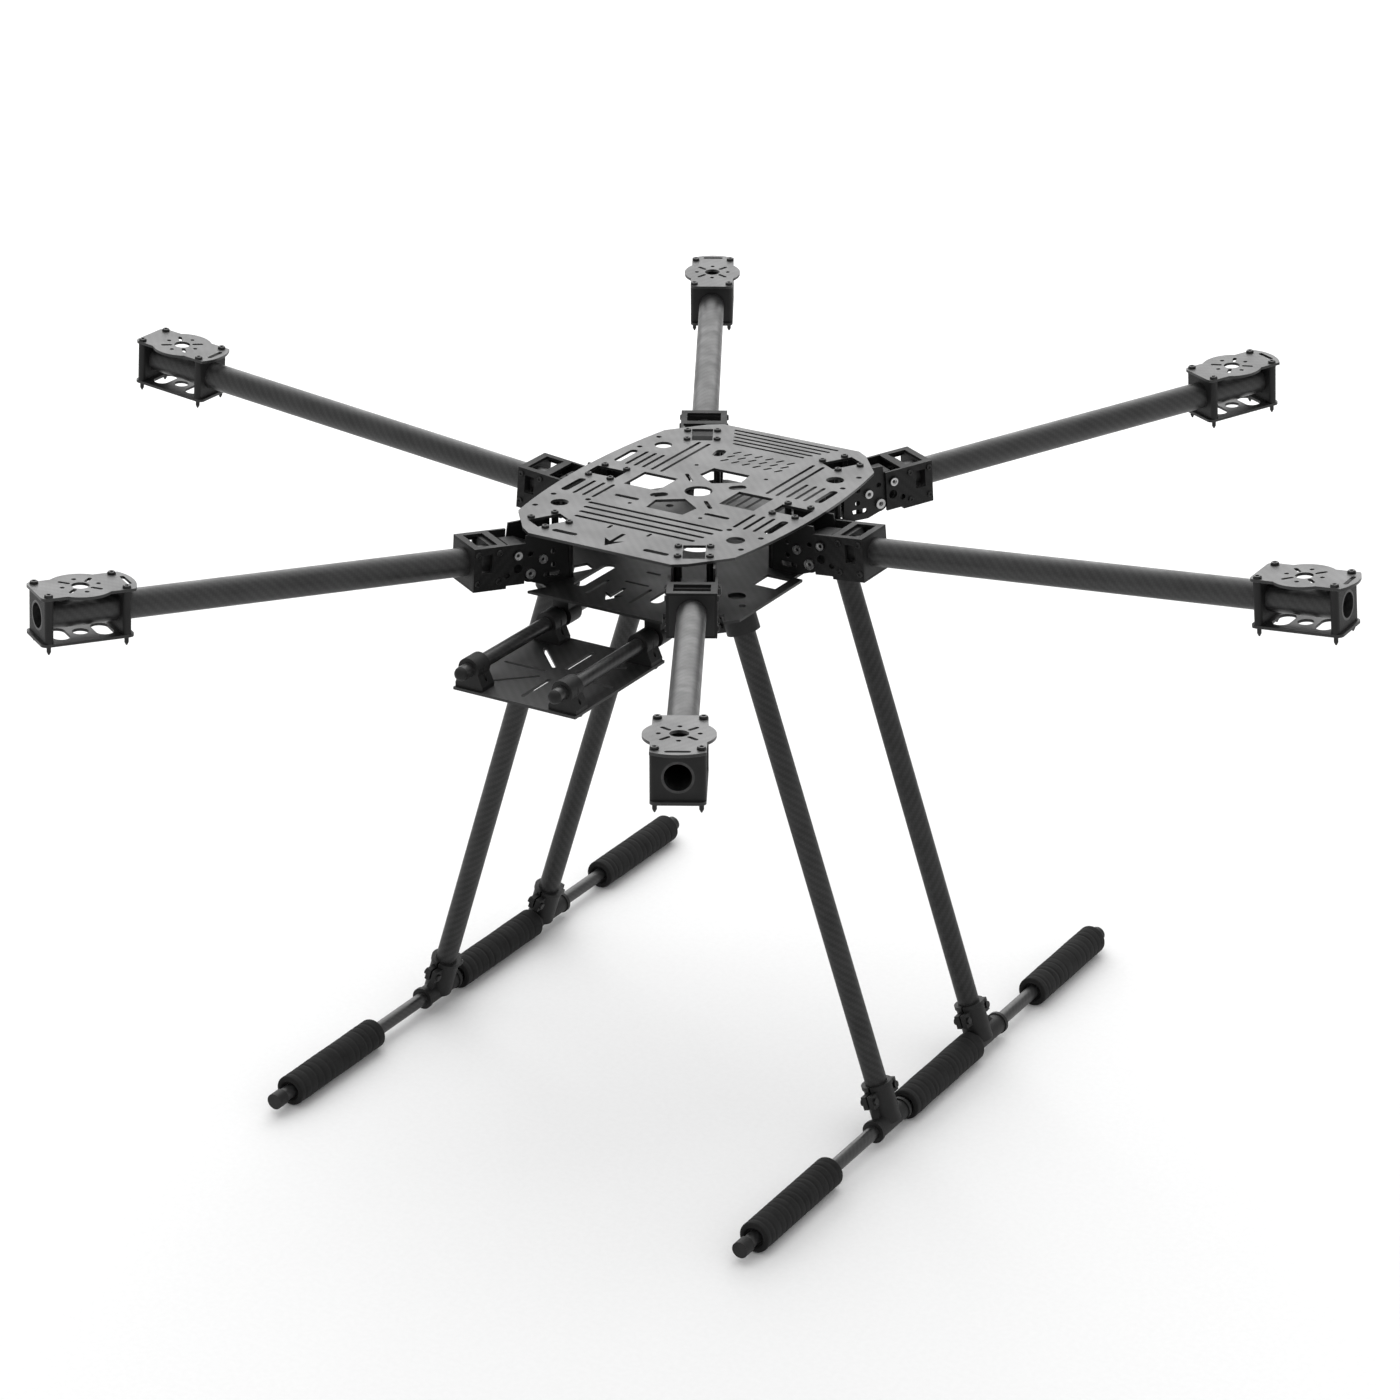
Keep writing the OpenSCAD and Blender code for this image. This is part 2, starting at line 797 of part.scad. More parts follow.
module arm_motor_plate(i)
  color([0.70, 0.70, 0.70])
    at_motor(i)
      translate([0, 0, mount_top])
        linear_extrude(box_skin)
          scale([nose_side(i), 1])
            difference() {
              union() {
                mount_outline();
                circle(motor_bulge_r);
                intersection() {
                  translate([20, -mount_half_v]) square([20, 2 * mount_half_v]);
                  translate([nose_tip - nose_r, 0]) circle(nose_r, $fn = 96);
                }
              }
              mount_screw_holes();
              circle(d = 12);
              for (a = [0 : 90 : 270]) {
                rotate(a) translate([motor_pcd / 2, 0]) circle(d = motor_hole_d, $fn = 24);
                rotate(a + 45) translate([11.8, 0]) slot(8.6, 2.8);
              }
              translate([31.4, 0]) slot(16, 3.2, 90);
            }

module arm_mount_base(i)
  color([0.16, 0.16, 0.16])
    at_motor(i)
      translate([0, 0, box_floor - box_skin])
        linear_extrude(box_skin)
          difference() {
            mount_outline();
            mount_screw_holes();
            circle(d = 11);
            for (side = [-1, 1]) translate([side * 15, 0]) slot(22, 12, 90);
          }

module arm_screws(i)
  color([0.78, 0.78, 0.78]) {
    at_arm(i) {
      cross_pin(cross_bolt[0], cross_bolt[1], stop_r, box_out);
      both_sides() translate([cross_bolt[0], box_out, cross_bolt[1]]) rotate([-90, 0, 0])
        difference() {
          cylinder(r = 3.6, h = 1.8);
          translate([0, 0, 0.8]) cylinder(r = 2, h = 2, $fn = 24);
        }
      box_screw_spots(i) screw(side_screw_r, 2.2, 1.2, 6);
    }
    at_motor(i)
      for (u = [-1, 1])
        for (v = [-1, 1])
          translate([u * mount_screw_u, v * mount_screw_v, mount_top + box_skin]) {
            screw(mount_screw_r, 2.9, 1.8, 38);
            translate([0, 0, -40]) cylinder(r1 = 0.5, r2 = mount_screw_r, h = 2, $fn = 24);
          }
  }

// ---------------------------------------------------------------- assembly

top_plate();
bottom_plate();
plate_posts();
hinge_cheeks();
hinge_bolts();
frame_screws();
leg_sockets();
leg_tubes();
leg_tees();
skid_tubes();
skid_caps();
foam_sleeves();
rail_hangers();
rail_tubes();
rail_collars();
rail_plugs();
battery_tray();
tray_screws();
arm_tube(LEFT);  // left_tube
arm_hinge_lug(LEFT);  // left_hinge_lug
arm_box_plates(LEFT);  // left_box_plates
arm_tube_clamps(LEFT);  // left_tube_clamps
arm_motor_plate(LEFT);  // left_motor_plate
arm_mount_base(LEFT);  // left_mount_base
arm_screws(LEFT);  // left_screws
arm_tube(REAR_LEFT);  // rear_left_tube
arm_hinge_lug(REAR_LEFT);  // rear_left_hinge_lug
arm_box_plates(REAR_LEFT);  // rear_left_box_plates
arm_tube_clamps(REAR_LEFT);  // rear_left_tube_clamps
arm_motor_plate(REAR_LEFT);  // rear_left_motor_plate
arm_mount_base(REAR_LEFT);  // rear_left_mount_base
arm_screws(REAR_LEFT);  // rear_left_screws
arm_tube(REAR_RIGHT);  // rear_right_tube
arm_hinge_lug(REAR_RIGHT);  // rear_right_hinge_lug
arm_box_plates(REAR_RIGHT);  // rear_right_box_plates
arm_tube_clamps(REAR_RIGHT);  // rear_right_tube_clamps
arm_motor_plate(REAR_RIGHT);  // rear_right_motor_plate
arm_mount_base(REAR_RIGHT);  // rear_right_mount_base
arm_screws(REAR_RIGHT);  // rear_right_screws
arm_tube(RIGHT);  // right_tube
arm_hinge_lug(RIGHT);  // right_hinge_lug
arm_box_plates(RIGHT);  // right_box_plates
arm_tube_clamps(RIGHT);  // right_tube_clamps
arm_motor_plate(RIGHT);  // right_motor_plate
arm_mount_base(RIGHT);  // right_mount_base
arm_screws(RIGHT);  // right_screws
arm_tube(FRONT_RIGHT);  // front_right_tube
arm_hinge_lug(FRONT_RIGHT);  // front_right_hinge_lug
arm_box_plates(FRONT_RIGHT);  // front_right_box_plates
arm_tube_clamps(FRONT_RIGHT);  // front_right_tube_clamps
arm_motor_plate(FRONT_RIGHT);  // front_right_motor_plate
arm_mount_base(FRONT_RIGHT);  // front_right_mount_base
arm_screws(FRONT_RIGHT);  // front_right_screws
arm_tube(FRONT_LEFT);  // front_left_tube
arm_hinge_lug(FRONT_LEFT);  // front_left_hinge_lug
arm_box_plates(FRONT_LEFT);  // front_left_box_plates
arm_tube_clamps(FRONT_LEFT);  // front_left_tube_clamps
arm_motor_plate(FRONT_LEFT);  // front_left_motor_plate
arm_mount_base(FRONT_LEFT);  // front_left_mount_base
arm_screws(FRONT_LEFT);  // front_left_screws
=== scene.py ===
import bpy, bmesh, json, math, random
from mathutils import Vector, Matrix

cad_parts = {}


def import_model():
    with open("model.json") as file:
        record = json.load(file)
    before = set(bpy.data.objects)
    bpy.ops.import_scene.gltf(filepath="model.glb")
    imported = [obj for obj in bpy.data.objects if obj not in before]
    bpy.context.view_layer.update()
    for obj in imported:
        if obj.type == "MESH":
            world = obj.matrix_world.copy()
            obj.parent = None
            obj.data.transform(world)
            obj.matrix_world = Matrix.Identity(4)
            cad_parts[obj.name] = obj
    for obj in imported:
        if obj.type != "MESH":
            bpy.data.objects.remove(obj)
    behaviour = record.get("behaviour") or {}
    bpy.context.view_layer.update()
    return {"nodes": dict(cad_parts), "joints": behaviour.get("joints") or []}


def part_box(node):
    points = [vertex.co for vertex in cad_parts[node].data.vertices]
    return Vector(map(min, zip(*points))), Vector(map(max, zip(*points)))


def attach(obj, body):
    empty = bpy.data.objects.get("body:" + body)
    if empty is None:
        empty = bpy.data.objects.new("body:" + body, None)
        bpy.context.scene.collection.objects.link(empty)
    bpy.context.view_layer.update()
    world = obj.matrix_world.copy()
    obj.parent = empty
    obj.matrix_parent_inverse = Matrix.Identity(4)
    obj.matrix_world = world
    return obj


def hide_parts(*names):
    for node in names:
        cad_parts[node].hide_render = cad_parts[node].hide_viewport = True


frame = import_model()
NODES = frame["nodes"]
MM = 0.001

# Arms: name, heading and rise of the tube in degrees
ARMS = [("left", 0, 5.5), ("rear_left", 60, 4.0), ("rear_right", 120, 4.0),
        ("right", 180, 5.5), ("front_right", 240, 4.0), ("front_left", 300, 4.0)]
# The pivot of each arm, by the arm's name
HINGE = {j["child"][:-4]: Vector(j["pos_m"]) for j in frame["joints"] if j["child"].endswith("_arm")}
TUBE_ABOVE_PIVOT = 8.5 * MM
# Bolts across each arm root, from the pivot: the pivot itself and the stop; and the cross bolt of the box
ROOT_BOLTS = [(0.0, 0.0), (-10 * MM, 9 * MM)]
CROSS_BOLT = (11 * MM, 15 * MM)


# ------------------------------------------------------------------ node helpers

class Graph:
    """Short names for building a material's nodes."""

    def __init__(self, name):
        self.mat = bpy.data.materials.new(name)
        self.mat.use_nodes = True
        self.tree = self.mat.node_tree
        self.bsdf = self.tree.nodes["Principled BSDF"]

    def put(self, socket, value):
        if isinstance(value, bpy.types.NodeSocket):
            self.tree.links.new(value, socket)
        else:
            socket.default_value = value

    def node(self, kind, out=0, **values):
        n = self.tree.nodes.new(kind)
        for key, value in values.items():
            if key in n.inputs:
                self.put(n.inputs[key], value)
            else:
                setattr(n, key, value)
        return n.outputs[out]

    def math(self, op, *args):
        n = self.tree.nodes.new("ShaderNodeMath")
        n.operation = op
        for i, a in enumerate(args):
            self.put(n.inputs[i], a)
        return n.outputs[0]

    def vector(self, op, *args, out=0):
        n = self.tree.nodes.new("ShaderNodeVectorMath")
        n.operation = op
        for i, a in enumerate(args):
            self.put(n.inputs[i], a)
        return n.outputs[out]

    def split(self, v):
        n = self.tree.nodes.new("ShaderNodeSeparateXYZ")
        self.put(n.inputs[0], v)
        return n.outputs[0], n.outputs[1], n.outputs[2]

    def join(self, x, y, z):
        n = self.tree.nodes.new("ShaderNodeCombineXYZ")
        for i, a in enumerate((x, y, z)):
            self.put(n.inputs[i], a)
        return n.outputs[0]

    def coords(self, which="Object"):
        n = self.tree.nodes.new("ShaderNodeTexCoord")
        return n.outputs[which]

    def turn(self, v, axis, angle):
        n = self.tree.nodes.new("ShaderNodeVectorRotate")
        n.rotation_type = "AXIS_ANGLE"
        self.put(n.inputs["Vector"], v)
        n.inputs["Axis"].default_value = axis
        n.inputs["Angle"].default_value = angle
        return n.outputs[0]

    def noise(self, scale, detail=3.0, rough=0.5, vec=None):
        n = self.tree.nodes.new("ShaderNodeTexNoise")
        n.inputs["Scale"].default_value = scale
        n.inputs["Detail"].default_value = detail
        n.inputs["Roughness"].default_value = rough
        self.put(n.inputs["Vector"], vec if vec is not None else self.coords())
        return n.outputs[0]

    def ramp(self, value, low, high, a=0.0, b=1.0, smooth=True):
        n = self.tree.nodes.new("ShaderNodeMapRange")
        n.interpolation_type = "SMOOTHSTEP" if smooth else "LINEAR"
        self.put(n.inputs["Value"], value)
        for key, v in (("From Min", low), ("From Max", high), ("To Min", a), ("To Max", b)):
            self.put(n.inputs[key], v)
        return n.outputs[0]

    def mix(self, factor, a, b):
        n = self.tree.nodes.new("ShaderNodeMix")
        n.data_type = "RGBA"
        self.put(n.inputs[0], factor)
        for i, c in ((6, a), (7, b)):
            self.put(n.inputs[i], (c, c, c, 1.0) if isinstance(c, float) else c)
        return n.outputs[2]

    def choose(self, factor, a, b):
        """The number a where factor is 0, b where it is 1."""
        n = self.tree.nodes.new("ShaderNodeMix")
        for i, value in ((0, factor), (2, a), (3, b)):
            self.put(n.inputs[i], value)
        return n.outputs[0]

    def grey(self, value):
        return self.join(value, value, value)

    def edge(self, radius=0.4 * MM):
        """1 on the object's sharp edges, 0 on its flats."""
        bevel = self.node("ShaderNodeBevel", samples=4, Radius=radius)
        true = self.tree.nodes.new("ShaderNodeNewGeometry").outputs["True Normal"]
        dot = self.vector("DOT_PRODUCT", bevel, true, out=1)
        return self.ramp(dot, 0.995, 0.80)

    def bump(self, height, strength, distance, normal=None):
        n = self.tree.nodes.new("ShaderNodeBump")
        n.inputs["Strength"].default_value = strength
        n.inputs["Distance"].default_value = distance
        self.put(n.inputs["Height"], height)
        if normal is not None:
            self.put(n.inputs["Normal"], normal)
        return n.outputs[0]

    def set(self, **values):
        names = {"color": "Base Color", "rough": "Roughness", "metal": "Metallic", "normal": "Normal",
                 "spec": "Specular IOR Level", "sheen": "Sheen Weight", "sheen_rough": "Sheen Roughness"}
        for key, value in values.items():
            if key == "color" and isinstance(value, float):
                value = (value, value, value, 1.0)
            self.put(self.bsdf.inputs[names[key]], value)
        return self.mat


def twill(g, s, t, tow):
    """2/2 twill cloth laid in the (s, t) plane. Returns (1 where the warp shows, height of the tows)."""
    u = g.math("DIVIDE", s, tow)
    v = g.math("DIVIDE", t, tow)
    cell = g.math("ADD", g.math("FLOOR", u), g.math("FLOOR", v))
    warp = g.math("LESS_THAN", g.math("FLOORED_MODULO", cell, 4.0), 1.5)
    across = g.math("SINE", g.math("MULTIPLY", g.math("FRACT", u), math.pi))
    along = g.math("SINE", g.math("MULTIPLY", g.math("FRACT", v), math.pi))
    return warp, g.choose(warp, along, across)


# ------------------------------------------------------------------ materials

BLACK_METAL = 0.035
SAWN_EDGE = 0.006
SOCKET_R = 1.25 * MM


def laminate(name, tone, spread, rough, heading=0.0, tilt=0.0, tow=2.0 * MM, edge_highlight_tone=0.5, spec=0.5,
             upright=False):
    """Flat carbon laminate. The cloth lies in whichever plane of the arm's own axes the face lies in.
    Sawn edges are black; upright says that faces across the arm are plate faces, not sawn edges."""
    g = Graph(name)
    p, n = g.coords(), g.coords("Normal")
    if heading:
        p = g.turn(p, (0, 0, 1), -math.radians(heading))
        n = g.turn(n, (0, 0, 1), -math.radians(heading))
    if tilt:
        p = g.turn(p, (0, 1, 0), math.radians(tilt))
        n = g.turn(n, (0, 1, 0), math.radians(tilt))
    x, y, z = g.split(p)
    nx, ny, nz = g.split(n)
    flat = g.math("GREATER_THAN", g.math("ABSOLUTE", nz), 0.7)
    side = g.math("GREATER_THAN", g.math("ABSOLUTE", ny), 0.7)
    s = g.choose(g.math("MAXIMUM", flat, side), y, x)
    t = g.choose(flat, z, y)
    warp, height = twill(g, s, t, tow)
    cloud = g.noise(38, 4, 0.55)
    fine = g.noise(900, 2, 0.6)
    shade = g.math("ADD", g.math("MULTIPLY", warp, spread), g.math("MULTIPLY", height, spread * 0.6))
    shade = g.math("ADD", shade, g.ramp(cloud, 0.35, 0.65, -spread * 0.5, spread * 0.5))
    shade = g.math("ADD", shade, tone - spread * 0.8)
    # Painted edge highlight: the sharp edges are lightened toward the given edge tone, broken up by fine
    # noise
    edge_highlight = g.edge()
    cut = g.math("SUBTRACT", 1.0, g.math("MAXIMUM", flat, side) if upright else flat)
    body = g.mix(g.math("MULTIPLY", cut, 0.9), g.grey(shade), SAWN_EDGE)
    color = g.mix(g.math("MULTIPLY", edge_highlight, g.ramp(fine, 0.4, 0.7, 0.1, 0.6)), body, edge_highlight_tone)
    r = g.ramp(cloud, 0.3, 0.7, rough - 0.05, rough + 0.06)
    normal = g.bump(height, 0.12, 0.05 * MM)
    normal = g.bump(fine, 0.10, 0.03 * MM, normal)
    return g.set(color=color, rough=r, normal=normal, spec=spec)


def tube_weave(name, local, radius, tone=0.016, spread=0.008, tow=1.7 * MM, rough=0.36, spec=0.5):
    """Rolled carbon tube. local(g) gives the point with X along the tube and the axis at Y = Z = 0."""
    g = Graph(name)
    x, y, z = g.split(local(g))
    around = g.math("MULTIPLY", g.math("ARCTAN2", y, z), radius)
    warp, height = twill(g, x, around, tow)
    cloud = g.noise(60, 4, 0.6)
    fine = g.noise(1200, 2, 0.6)
    shade = g.math("ADD", g.math("MULTIPLY", warp, spread), g.math("MULTIPLY", height, spread * 0.5))
    shade = g.math("ADD", shade, g.ramp(cloud, 0.35, 0.65, tone - spread, tone))
    # Painted edge highlight: the sharp edges are lightened toward 0.12
    edge_highlight = g.edge(0.3 * MM)
    color = g.mix(g.math("MULTIPLY", edge_highlight, 0.35), g.grey(shade), 0.12)
    r = g.ramp(cloud, 0.3, 0.7, rough - 0.06, rough + 0.08)
    normal = g.bump(height, 0.14, 0.05 * MM)
    normal = g.bump(fine, 0.08, 0.02 * MM, normal)
    return g.set(color=color, rough=r, normal=normal, spec=spec)


def moulded(name, tone=0.008, grain=1500, rough=0.55):
    g = Graph(name)
    fine = g.noise(grain, 3, 0.65)
    cloud = g.noise(55, 3, 0.5)
    # Painted edge highlight: the sharp edges are lightened in noisy patches
    edge_highlight = g.edge(0.5 * MM)
    edge_highlight_patches = g.math("MULTIPLY", edge_highlight, g.ramp(g.noise(260, 3, 0.6), 0.35, 0.65, 0.15, 0.8))
    shade = g.ramp(cloud, 0.3, 0.7, tone * 0.7, tone * 1.4)
    color = g.mix(edge_highlight_patches, g.grey(shade), tone * 4.5)
    r = g.ramp(fine, 0.3, 0.7, rough - 0.08, rough + 0.08)
    soft = g.node("ShaderNodeBevel", samples=4, Radius=0.35 * MM)
    normal = g.bump(fine, 0.22, 0.06 * MM, soft)
    return g.set(color=color, rough=r, normal=normal, spec=0.28)


def metal(name, tone=0.40, rough=0.32, heads=None, bright_r=5 * MM):
    """Turned metal. heads lists (local, x, z) of bolts across an arm: the floors of their sockets are
    painted dark as shade, and whatever lies further than bright_r from every bolt's axis is black."""
    g = Graph(name)
    p = g.coords()
    if heads:
        away = None
        for local, bolt_x, bolt_z in heads:
            x, y, z = g.split(local(g))
            off = g.join(g.math("SUBTRACT", x, bolt_x), 0.0, g.math("SUBTRACT", z, bolt_z))
            distance = g.vector("LENGTH", off, out=1)
            away = distance if away is None else g.math("MINIMUM", away, distance)
        # Painted shade: the socket recess of each bolt head is coloured black metal
        ring = g.math("MULTIPLY", g.ramp(away, SOCKET_R - 0.15 * MM, SOCKET_R + 0.15 * MM),
                      g.ramp(away, bright_r - 0.1 * MM, bright_r + 0.1 * MM, 1.0, 0.0))
        tone = g.ramp(ring, 0.0, 1.0, BLACK_METAL, tone, smooth=False)
    streak = g.noise(1.0, 4, 0.6, g.vector("MULTIPLY", p, (900, 900, 60)))
    cloud = g.noise(240, 3, 0.5)
    shade = g.math("MULTIPLY", g.ramp(cloud, 0.3, 0.7, 0.8, 1.1), tone)
    # Painted edge highlight: the sharp edges are lightened toward one and a half times the metal's tone
    rim_highlight = g.math("MINIMUM", g.math("MULTIPLY", tone, 1.5), 1.0)
    color = g.mix(g.edge(0.25 * MM), g.grey(shade), g.grey(rim_highlight))
    r = g.ramp(streak, 0.3, 0.7, rough - 0.08, rough + 0.12)
    soft = g.node("ShaderNodeBevel", samples=4, Radius=0.2 * MM)
    return g.set(color=color, rough=r, metal=1.0, normal=g.bump(streak, 0.1, 0.02 * MM, soft))


def foam_skin(name):
    """Closed-cell foam: fine open pores, faint dust in random patches."""
    g = Graph(name)
    cells = g.tree.nodes.new("ShaderNodeTexVoronoi")
    cells.inputs["Scale"].default_value = 1400
    g.put(cells.inputs["Vector"], g.coords())
    pore = g.ramp(cells.outputs["Distance"], 0.0, 0.55)
    fine = g.noise(2200, 3, 0.7)
    cloud = g.noise(70, 4, 0.6)
    tone = g.ramp(cloud, 0.3, 0.7, 0.006, 0.012)
    dust = g.math("MULTIPLY", g.ramp(g.noise(420, 3, 0.6), 0.5, 0.75), 0.35)
    color = g.mix(dust, g.grey(tone), 0.02)
    height = g.math("ADD", pore, g.math("MULTIPLY", fine, 0.6))
    return g.set(color=color, rough=0.92, spec=0.18, sheen=0.04, sheen_rough=0.6,
                 normal=g.bump(height, 0.35, 0.12 * MM))


# ------------------------------------------------------------------ tubes' own axes

def root_axis(name, heading):
    """X outward from the pivot of an arm, Y along the pivot bolt, Z up."""
    def local(g):
        p = g.vector("SUBTRACT", g.coords(), tuple(HINGE[name]))
        return g.turn(p, (0, 0, 1), -math.radians(heading))
    return local


def arm_axis(name, heading, tilt):
    """X along an arm's tube from the pivot, with the tube's axis at Y = Z = 0."""
    def local(g):
        p = g.turn(root_axis(name, heading)(g), (0, 1, 0), math.radians(tilt))
        return g.vector("SUBTRACT", p, (0, 0, TUBE_ABOVE_PIVOT))
    return local


def mirrored(g):
    """The point, with X as its distance from the middle, the same on both sides."""
    x, y, z = g.split(g.coords())
    return g.math("ABSOLUTE", x), y, z


def straight_axis(across, height):
    """Tubes that run fore and aft, one on each side."""
    def local(g):
        x, y, z = mirrored(g)
        return g.join(y, g.math("SUBTRACT", x, across), g.math("SUBTRACT", z, height))
    return local


def leg_axis(foot_x, foot_z, splay, middle_y, half_y, lean):
    """Splayed legs, one at each corner, whose tops sit a little ahead of their feet."""
    def local(g):
        x, y, z = mirrored(g)
        dx = g.math("SUBTRACT", x, foot_x)
        dz = g.math("SUBTRACT", z, foot_z)
        y = g.math("ADD", y, g.math("MULTIPLY", dz, lean))
        c, s = math.cos(splay), math.sin(splay)
        along = g.math("SUBTRACT", g.math("MULTIPLY", dz, c), g.math("MULTIPLY", dx, s))
        off = g.math("ADD", g.math("MULTIPLY", dx, c), g.math("MULTIPLY", dz, s))
        dy = g.math("SUBTRACT", g.math("ABSOLUTE", g.math("SUBTRACT", y, middle_y)), half_y)
        return g.join(along, off, dy)
    return local


def paint(node, material):
    """Gives a whole CAD node one material."""
    for slot in NODES[node].material_slots:
        slot.material = material
    if not NODES[node].material_slots:
        NODES[node].data.materials.append(material)


skid_lo, skid_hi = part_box("skid_tubes")
rail_lo, rail_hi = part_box("rail_tubes")
SKID_R, RAIL_R, LEG_R, ARM_R = 5 * MM, 5 * MM, 8 * MM, 10 * MM
SKID_X = skid_hi.x - SKID_R
SKID_Z = (skid_lo.z + skid_hi.z) / 2
RAIL_X = rail_hi.x - RAIL_R
RAIL_Z = (rail_lo.z + rail_hi.z) / 2
# Legs: splay, forward lean (7 mm over their height), and the middle and half spacing of their feet
SPLAY, LEAN = math.radians(18.08), 7 / 371.5
LEG_MIDDLE_Y, LEG_HALF_Y = 7 * MM, 70.5 * MM

deck = laminate("deck_laminate", 0.050, 0.011, 0.42, edge_highlight_tone=0.18)
# Painted shade: the bottom plate takes a darker copy of the deck laminate, for the shade under the top
# plate
lower = laminate("lower_laminate", 0.010, 0.005, 0.5, edge_highlight_tone=0.06, spec=0.35)
# Painted shade: the battery tray takes a darker copy of the deck laminate, for the shade under the plates
# above it
dark = laminate("dark_laminate", 0.014, 0.007, 0.5, edge_highlight_tone=0.08)
black = moulded("moulded_black")
black_metal = metal("anodised_black", BLACK_METAL, 0.42)
paint("top_plate", deck)
paint("bottom_plate", lower)
paint("battery_tray", dark)
paint("hinge_cheeks", moulded("cheek_black", 0.006, 1100, 0.5))
for node in ("leg_sockets", "leg_tees", "skid_caps", "rail_hangers", "rail_collars", "rail_plugs"):
    paint(node, black)
for node in ("plate_posts", "frame_screws", "tray_screws"):
    paint(node, black_metal)
paint("hinge_bolts", metal("hinge_bolt_steel", heads=[
    (root_axis(name, heading), x, z) for name, heading, _ in ARMS for x, z in ROOT_BOLTS]))
paint("leg_tubes", tube_weave("leg_carbon", leg_axis(SKID_X, SKID_Z, SPLAY, LEG_MIDDLE_Y, LEG_HALF_Y, LEAN),
                              LEG_R, rough=0.46, spec=0.3))
paint("skid_tubes", tube_weave("skid_carbon", straight_axis(SKID_X, SKID_Z), SKID_R, tow=1.3 * MM))
paint("rail_tubes", tube_weave("rail_carbon", straight_axis(RAIL_X, RAIL_Z), RAIL_R, tow=1.3 * MM))
for name, heading, tilt in ARMS:
    axis = arm_axis(name, heading, tilt)
    paint(name + "_tube", tube_weave(name + "_carbon", axis, ARM_R, rough=0.42))
    plate = laminate(name + "_plate_laminate", 0.058, 0.012, 0.40, heading, tilt, edge_highlight_tone=0.18)
    # Painted shade: each mount base takes a darker copy of the motor plate laminate
    base = laminate(name + "_base_laminate", 0.011, 0.006, 0.5, heading, tilt, edge_highlight_tone=0.08)
    skin = laminate(name + "_box_laminate", 0.007, 0.004, 0.55, heading, tilt, edge_highlight_tone=0.05, spec=0.22,
                    upright=True)
    paint(name + "_motor_plate", plate)
    paint(name + "_mount_base", base)
    paint(name + "_box_plates", skin)
    for piece in ("hinge_lug", "tube_clamps"):
        paint(name + "_" + piece, black)
    # Only the head of the cross bolt is bright, with painted shade in its socket; its washer and every
    # other screw are black
    cross_bolt = (axis, CROSS_BOLT[0], CROSS_BOLT[1] - TUBE_ABOVE_PIVOT)
    paint(name + "_screws", metal(name + "_screw_metal", 0.5, heads=[cross_bolt], bright_r=3 * MM))


# ------------------------------------------------------------------ foam sleeves

def revolve(name, profile, centre, segments=72, wobble=None):
    """Closed surface of revolution about Y. profile is a closed loop of (radius, y)."""
    bm = bmesh.new()
    rings = []
    for r, y in profile:
        ring = []
        for k in range(segments):
            a = 2 * math.pi * k / segments
            rr = r + (wobble(a, y, r) if wobble else 0.0)
            ring.append(bm.verts.new((rr * math.sin(a), y, rr * math.cos(a))))
        rings.append(ring)
    for i, ring in enumerate(rings):
        after = rings[(i + 1) % len(rings)]
        for k in range(segments):
            n = (k + 1) % segments
            bm.faces.new((ring[k], ring[n], after[n], after[k]))
    bmesh.ops.recalc_face_normals(bm, faces=bm.faces)
    mesh = bpy.data.meshes.new(name)
    bm.to_mesh(mesh)
    bm.free()
    mesh.shade_smooth()
    obj = bpy.data.objects.new(name, mesh)
    obj.location = centre
    bpy.context.scene.collection.objects.link(obj)
    return obj


def foam_sleeve(name, centre, length, radius, bore, material, seed):
    """Foam tube with soft creases all along it and a recessed bore at both ends."""
    rng = random.Random(seed)
    half = length / 2
    lip, recess, chamfer = 1.6 * MM, 3.5 * MM, 0.6 * MM
    mouth = bore + 2.6 * MM
    lip_steps, body_steps = 7, 170
    creases = []
    y = -half + 6 * MM
    while y < half - 5 * MM:
        creases.append((y, rng.uniform(0.22, 0.50) * MM, rng.uniform(0.7, 1.3) * MM,
                        rng.uniform(0, 2 * math.pi), rng.uniform(0.3, 1.1) * MM))
        y += rng.uniform(5.5, 8.5) * MM

    def dent(a, y):
        d = 0.0
        for cy, depth, width, phase, drift in creases:
            off = y - cy - drift * math.sin(a + phase)
            if abs(off) < 4 * width:
                d += depth * (0.75 + 0.25 * math.sin(2 * a + phase)) * math.exp(-(off / width) ** 2)
        return d

    def wobble(a, y, r):
        if r < mouth + 0.5 * MM:
            return 0.0
        share = min(1.0, (r - mouth) / (radius - lip - mouth))
        swell = 0.10 * MM * (math.sin(3 * a + seed) * math.sin(y * 130 + seed) - 1)
        return share * (swell - dent(a, y))

    # One end of the outline, from the bore's floor to the outer skin; the other end mirrors it
    end = [(bore, half - recess), (mouth - 0.8 * MM, half - recess), (mouth, half - recess + 1 * MM),
           (mouth, half - chamfer), (mouth + chamfer, half)]
    for k in range(lip_steps):
        a = k * math.pi / 2 / (lip_steps - 1)
        end.append((radius - lip + lip * math.sin(a), half - lip + lip * math.cos(a)))
    body = [(radius, -half + lip + (length - 2 * lip) * k / body_steps) for k in range(1, body_steps)]
    profile = [(r, -y) for r, y in end] + body + end[::-1]
    obj = revolve(name, profile, centre, wobble=wobble)
    obj.data.materials.append(material)
    return obj


foam = foam_skin("foam_black")
FOAM_LEN = 104 * MM
foam_lo, foam_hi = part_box("foam_sleeves")
FOAM_R = (foam_hi.z - foam_lo.z) / 2
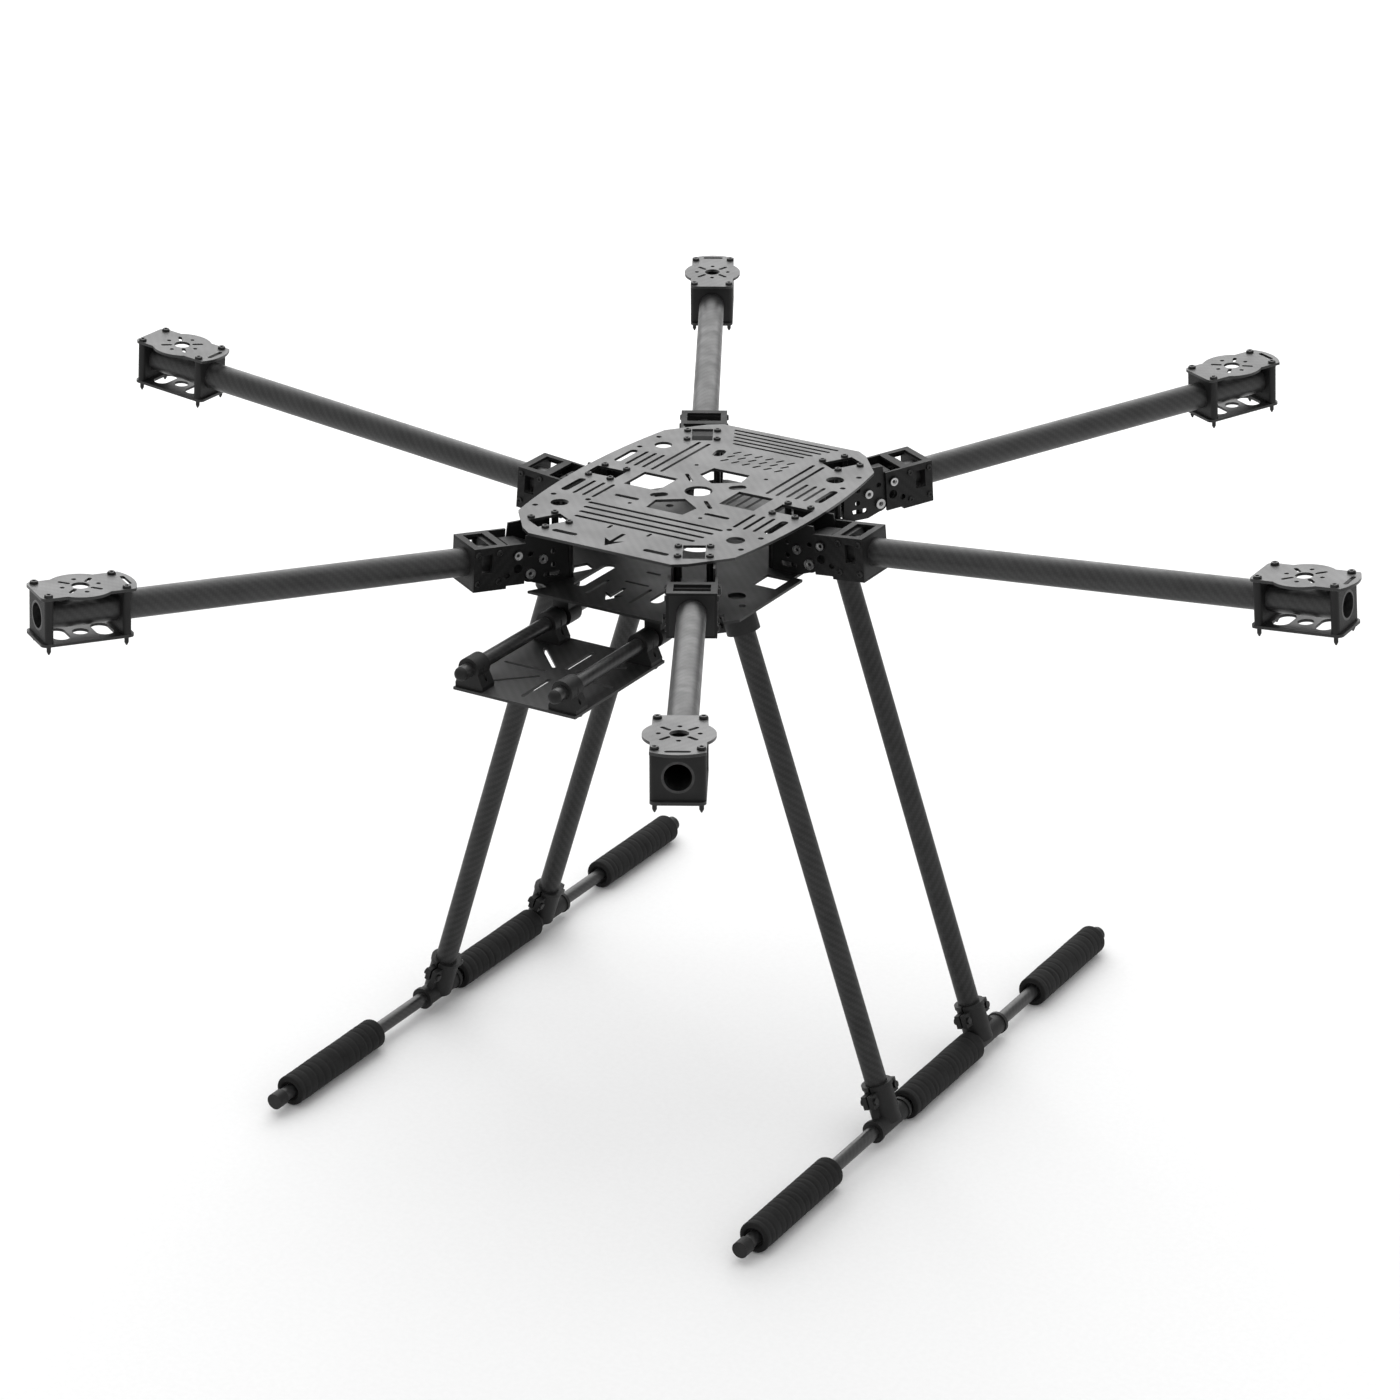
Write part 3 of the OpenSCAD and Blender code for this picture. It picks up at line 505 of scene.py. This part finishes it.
# Centres of the front, middle and rear sleeves along the skid
FOAM_YS = [foam_lo.y + FOAM_LEN / 2, 13 * MM, foam_hi.y - FOAM_LEN / 2]
for side, side_name in ((1, "left"), (-1, "right")):
    for place, y in zip(("front", "middle", "rear"), FOAM_YS):
        centre = (side * (foam_hi.x - FOAM_R), y, foam_lo.z + FOAM_R)
        sleeve = foam_sleeve(f"foam_{side_name}_{place}", centre, FOAM_LEN, FOAM_R, SKID_R, foam,
                             seed=int(7 + side * 3 + y * 1000) % 97)
        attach(sleeve, "frame")
        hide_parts("foam_sleeves")


# ------------------------------------------------------------------ floor, light and camera

FLOOR_REACH = 14.0


def stage_floor():
    g = Graph("studio_floor")
    grain = g.noise(260, 3, 0.6)
    tone = g.ramp(grain, 0.3, 0.7, 0.91, 0.93)
    mat = g.set(color=g.grey(tone), rough=0.9, spec=0.1)
    bm = bmesh.new()
    bmesh.ops.create_grid(bm, x_segments=8, y_segments=8, size=FLOOR_REACH)
    mesh = bpy.data.meshes.new("studio_floor")
    bm.to_mesh(mesh)
    bm.free()
    obj = bpy.data.objects.new("studio_floor", mesh)
    obj.data.materials.append(mat)
    bpy.context.scene.collection.objects.link(obj)


def softbox(name, position, target, size, power):
    data = bpy.data.lights.new(name, "AREA")
    data.shape = "RECTANGLE"
    data.size, data.size_y = size
    data.energy = power
    obj = bpy.data.objects.new(name, data)
    obj.location = position
    direction = Vector(target) - Vector(position)
    obj.rotation_euler = direction.to_track_quat("-Z", "Y").to_euler()
    obj.visible_camera = False
    bpy.context.scene.collection.objects.link(obj)


def world(strength):
    w = bpy.data.worlds.new("studio")
    bpy.context.scene.world = w
    w.use_nodes = True
    w.node_tree.nodes["Background"].inputs[0].default_value = (1, 1, 1, 1)
    w.node_tree.nodes["Background"].inputs[1].default_value = strength


# The photo's camera, fitted from the motor mounts, the skids and the deck
CAMERA_AT = Vector((1.34834, -2.20150, 1.39844))
CAMERA_RIGHT = Vector((0.85357, 0.52097, -0.00296))
CAMERA_UP = Vector((-0.20623, 0.34310, 0.91638))
CAMERA_LENS, CAMERA_SENSOR = 100.08, 36


def camera():
    data = bpy.data.cameras.new("camera")
    data.sensor_width = CAMERA_SENSOR
    data.lens = CAMERA_LENS
    data.clip_end = 100
    obj = bpy.data.objects.new("camera", data)
    back = CAMERA_RIGHT.cross(CAMERA_UP)
    obj.matrix_world = Matrix((
        (CAMERA_RIGHT.x, CAMERA_UP.x, back.x, CAMERA_AT.x),
        (CAMERA_RIGHT.y, CAMERA_UP.y, back.y, CAMERA_AT.y),
        (CAMERA_RIGHT.z, CAMERA_UP.z, back.z, CAMERA_AT.z),
        (0, 0, 0, 1)))
    bpy.context.scene.collection.objects.link(obj)
    bpy.context.scene.camera = obj


stage_floor()
world(0.78)
softbox("back_light", (-2.07, 3.39, 2.3), (0, 0, 0.3), (5.0, 3.4), 108)
softbox("top_light", (-0.6, 1.0, 3.6), (0, 0, 0.4), (3.4, 3.4), 42)
camera()
bpy.context.scene.view_settings.view_transform = "Standard"
